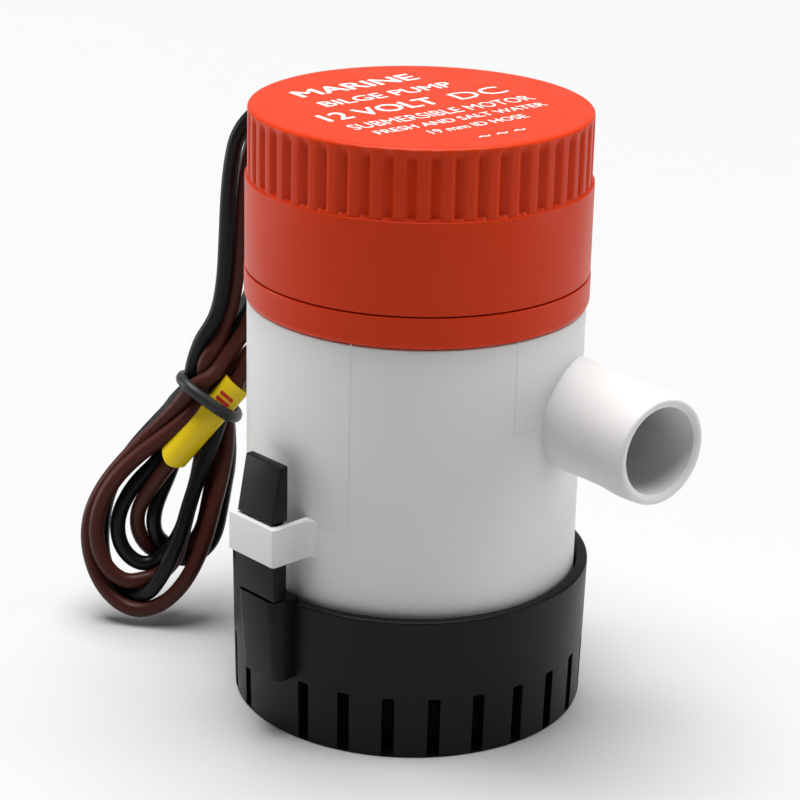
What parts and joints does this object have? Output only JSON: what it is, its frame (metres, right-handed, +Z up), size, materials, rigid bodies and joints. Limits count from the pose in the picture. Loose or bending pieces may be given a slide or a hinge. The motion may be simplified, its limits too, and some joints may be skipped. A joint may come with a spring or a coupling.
{
  "type": "bilge pump",
  "caption": "Submersible bilge pump: black clip-on strainer, off-white body with a side hose outlet, ribbed orange motor cap, and supply leads in a tied hank.",
  "frame": {"origin": "centre of the strainer's flat underside, on the bilge floor", "axes": "+Z up along the motor's shaft, +X along the hose outlet, away from the body"},
  "size_m": [0.112, 0.0766, 0.1094],
  "materials": {
    "black_plastic": "moulded black plastic, satin",
    "white_plastic": "moulded off-white plastic, soft gloss",
    "orange_plastic": "moulded orange-red plastic, soft gloss",
    "grey_plastic": "moulded grey plastic",
    "black_rubber": "matt rubber",
    "can_steel": "zinc plated steel",
    "core_steel": "laminated steel",
    "bronze": "sintered bronze",
    "copper": "bare and enamelled copper",
    "terminal_brass": "brass strip",
    "magnet_ferrite": "sintered ferrite",
    "carbon": "pressed carbon",
    "washer_nylon": "natural nylon",
    "black_lead": "black cable insulation",
    "brown_lead": "brown cable insulation",
    "lead_pair": "black and brown cable insulation",
    "tie_wire": "black plastic over wire",
    "yellow_sleeve": "yellow plastic sleeve"
  },
  "bodies": {
    "strainer": {"strainer": "black_plastic"},
    "pump": {"pump_housing": "white_plastic", "suction_plate": "white_plastic", "diffuser": "white_plastic", "motor_canister": "grey_plastic", "canister_o_ring": "black_rubber", "collar_ring": "orange_plastic", "motor_cap": "orange_plastic", "shaft_seal": "black_rubber", "motor_can": "can_steel", "magnet_front": "magnet_ferrite", "magnet_back": "magnet_ferrite", "lower_bearing": "bronze", "upper_bearing": "bronze", "end_bell": "black_plastic", "brush_spring_front": "can_steel", "brush_spring_back": "can_steel", "terminal_positive": "terminal_brass", "terminal_negative": "terminal_brass", "cable_gland": "black_rubber", "inner_lead_brown": "brown_lead", "inner_lead_black": "black_lead", "lead_black": "black_lead", "lead_brown": "brown_lead", "lead_hank": "lead_pair", "lead_tie": "tie_wire", "lead_label": "yellow_sleeve"},
    "rotor": {"motor_shaft": "can_steel", "armature_core": "core_steel", "armature_winding": "copper", "commutator": "copper", "impeller": "black_plastic", "lower_thrust_washer": "washer_nylon", "upper_thrust_washer": "washer_nylon"},
    "front_latch": {"latch_arm_front": "black_plastic"},
    "back_latch": {"latch_arm_back": "black_plastic"},
    "front_brush": {"brush_front": "carbon"},
    "back_brush": {"brush_back": "carbon"}
  },
  "joints": [
    {"name": "pump_lift", "type": "slide", "parent": "strainer", "child": "pump", "axis": [0, 0, 1], "range_m": [0, 0.05], "deforming": ["latch_arm_front", "latch_arm_back"]},
    {"name": "rotor_spin", "type": "hinge", "parent": "pump", "child": "rotor", "pos_m": [0, 0, 0.0156], "axis": [0, 0, 1], "continuous": true},
    {"name": "front_latch_press", "type": "hinge", "parent": "strainer", "child": "front_latch", "pos_m": [0.00283, -0.03517, 0.0279], "axis": [-0.9968, -0.0802, 0], "range_deg": [0, 5], "stiffness_Nm_per_rad": 0.45},
    {"name": "back_latch_press", "type": "hinge", "parent": "strainer", "child": "back_latch", "pos_m": [-0.00283, 0.03517, 0.0279], "axis": [0.9968, 0.0802, 0], "range_deg": [0, 5], "stiffness_Nm_per_rad": 0.45},
    {"name": "front_brush_slide", "type": "slide", "parent": "pump", "child": "front_brush", "axis": [0, -1, 0], "range_m": [0, 0.001], "stiffness_N_per_m": 100, "springref_m": -0.003, "deforming": ["brush_spring_front"]},
    {"name": "back_brush_slide", "type": "slide", "parent": "pump", "child": "back_brush", "axis": [0, 1, 0], "range_m": [0, 0.001], "stiffness_N_per_m": 100, "springref_m": -0.003, "deforming": ["brush_spring_back"]}
  ]
}
